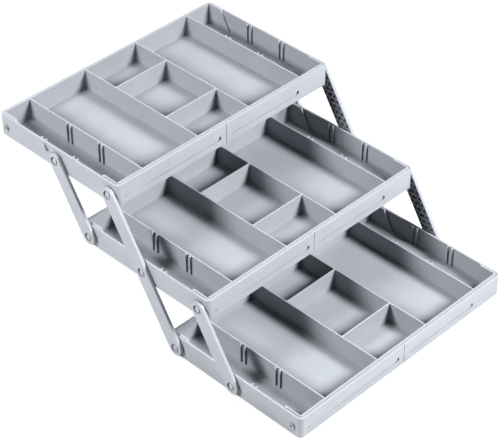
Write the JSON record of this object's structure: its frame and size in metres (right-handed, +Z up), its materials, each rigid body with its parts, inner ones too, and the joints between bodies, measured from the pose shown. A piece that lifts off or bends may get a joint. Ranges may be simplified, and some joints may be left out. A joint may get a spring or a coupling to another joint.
{
  "type": "expandable drawer organizer",
  "caption": "Drawer organizer of equal shallow compartment trays stacked in tiers, joined on both short sides by parallel swing links so that they fan out like steps.",
  "frame": {"origin": "centre of the bottom tray's underside, on the surface that the organizer stands on", "axes": "+X to the front, towards the lowest tray when open; +Y along the trays, from the near links to the far links; +Z up"},
  "size_m": [0.5082, 0.366, 0.2021],
  "materials": {
    "white_plastic": "moulded satin"
  },
  "bodies": {
    "bottom_tray": {"bottom_tray": "white_plastic", "bottom_back_rivet_near": "white_plastic", "bottom_back_rivet_far": "white_plastic", "bottom_middle_rivet_near": "white_plastic", "bottom_middle_rivet_far": "white_plastic"},
    "middle_tray": {"middle_tray": "white_plastic", "middle_back_rivet_near": "white_plastic", "middle_back_rivet_far": "white_plastic", "middle_middle_rivet_near": "white_plastic", "middle_middle_rivet_far": "white_plastic", "middle_front_rivet_near": "white_plastic", "middle_front_rivet_far": "white_plastic"},
    "top_tray": {"top_tray": "white_plastic", "top_middle_rivet_near": "white_plastic", "top_middle_rivet_far": "white_plastic", "top_front_rivet_near": "white_plastic", "top_front_rivet_far": "white_plastic"},
    "near_long_link": {"near_long_link": "white_plastic"},
    "near_front_link": {"near_front_link": "white_plastic"},
    "near_rear_link": {"near_rear_link": "white_plastic"},
    "far_long_link": {"far_long_link": "white_plastic"},
    "far_front_link": {"far_front_link": "white_plastic"},
    "far_rear_link": {"far_rear_link": "white_plastic"}
  },
  "joints": [
    {"name": "fold", "type": "hinge", "parent": "bottom_tray", "child": "near_long_link", "pos_m": [-0.094, 0, 0.0142], "axis": [0, 1, 0], "range_deg": [0, 100]},
    {"name": "far_long_link_turn", "type": "hinge", "parent": "bottom_tray", "child": "far_long_link", "pos_m": [-0.094, 0, 0.0142], "axis": [0, 1, 0], "range_deg": [0, 100]},
    {"name": "near_front_link_turn", "type": "hinge", "parent": "bottom_tray", "child": "near_front_link", "pos_m": [0, 0, 0.0142], "axis": [0, 1, 0], "range_deg": [0, 100]},
    {"name": "far_front_link_turn", "type": "hinge", "parent": "bottom_tray", "child": "far_front_link", "pos_m": [0, 0, 0.0142], "axis": [0, 1, 0], "range_deg": [0, 100]},
    {"name": "middle_tray_level", "type": "hinge", "parent": "near_long_link", "child": "middle_tray", "pos_m": [-0.1473, 0, 0.09995], "axis": [0, 1, 0], "range_deg": [-100, 0]},
    {"name": "top_tray_level", "type": "hinge", "parent": "near_long_link", "child": "top_tray", "pos_m": [-0.2006, 0, 0.1857], "axis": [0, 1, 0], "range_deg": [-100, 0]},
    {"name": "near_rear_link_turn", "type": "hinge", "parent": "middle_tray", "child": "near_rear_link", "pos_m": [-0.2413, 0, 0.09995], "axis": [0, 1, 0], "range_deg": [0, 100]},
    {"name": "far_rear_link_turn", "type": "hinge", "parent": "middle_tray", "child": "far_rear_link", "pos_m": [-0.2413, 0, 0.09995], "axis": [0, 1, 0], "range_deg": [0, 100]}
  ],
  "couplings": [
    {"joint": "far_long_link_turn", "follows": "fold", "ratio": 1},
    {"joint": "near_front_link_turn", "follows": "fold", "ratio": 1},
    {"joint": "far_front_link_turn", "follows": "fold", "ratio": 1},
    {"joint": "middle_tray_level", "follows": "fold", "ratio": -1},
    {"joint": "top_tray_level", "follows": "fold", "ratio": -1},
    {"joint": "near_rear_link_turn", "follows": "fold", "ratio": 1},
    {"joint": "far_rear_link_turn", "follows": "fold", "ratio": 1}
  ]
}
